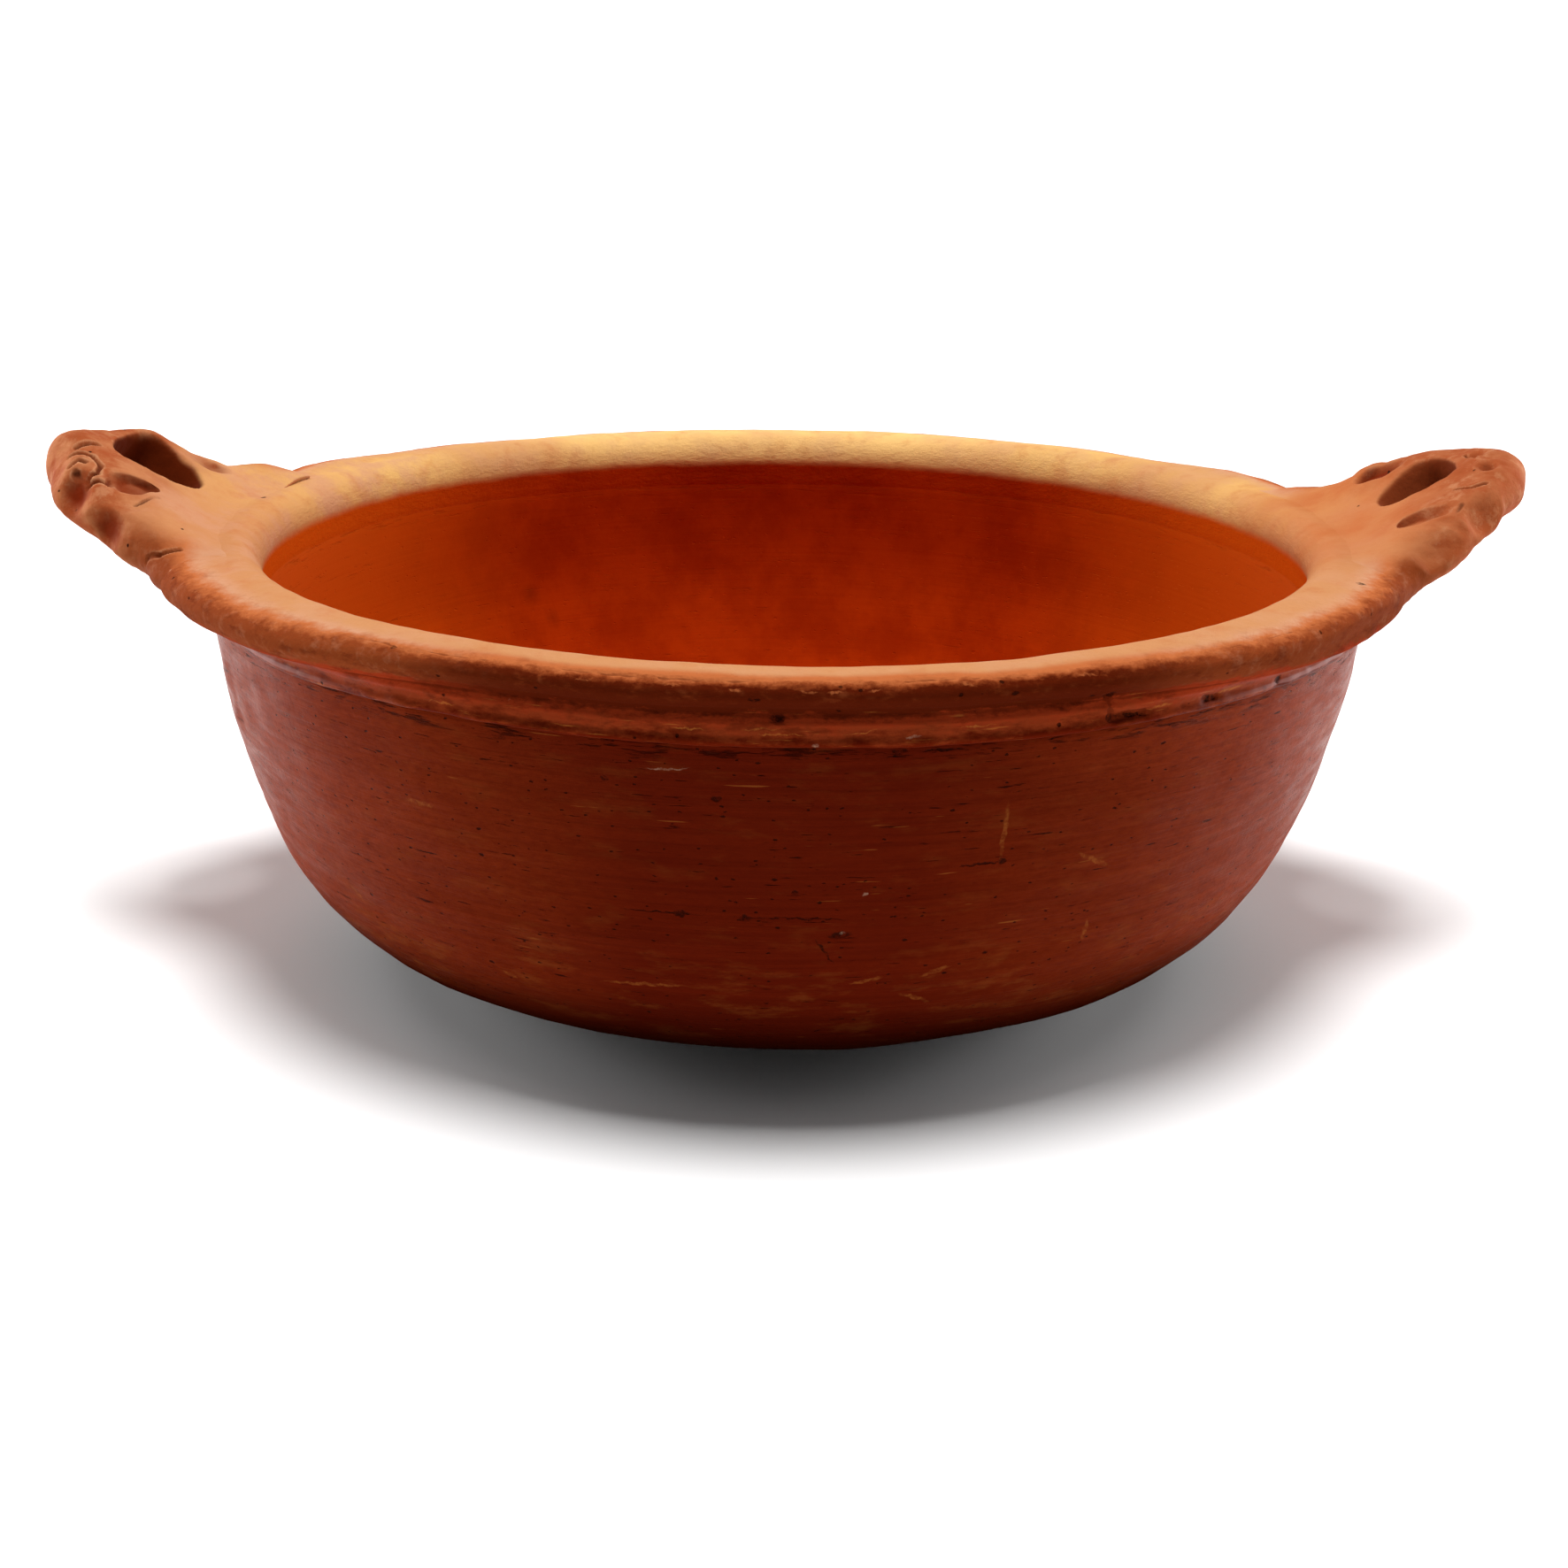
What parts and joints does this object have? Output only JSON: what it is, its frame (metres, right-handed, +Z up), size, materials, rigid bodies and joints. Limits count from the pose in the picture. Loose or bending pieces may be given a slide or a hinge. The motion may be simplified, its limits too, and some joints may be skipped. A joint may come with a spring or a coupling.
{
  "type": "tagine bowl",
  "caption": "Wide, round-bottomed earthenware cooking bowl of a tagine, with a flared, luted rim and pierced, upswept lug handles.",
  "frame": {"origin": "centre of the flat foot, on the surface that the bowl stands on", "axes": "+Z up along the bowl's turning axis, +X through the right lug handle, +Y towards the back"},
  "size_m": [0.3372, 0.2788, 0.1174],
  "materials": {
    "burnished_clay": "burnished, low gloss",
    "rim_clay": "smoothed, matte",
    "lug_clay": "rough, matte"
  },
  "bodies": {
    "root": {"bowl_body": "burnished_clay", "rim_coil": "rim_clay", "handle_right": "lug_clay", "handle_left": "lug_clay"}
  },
  "joints": []
}
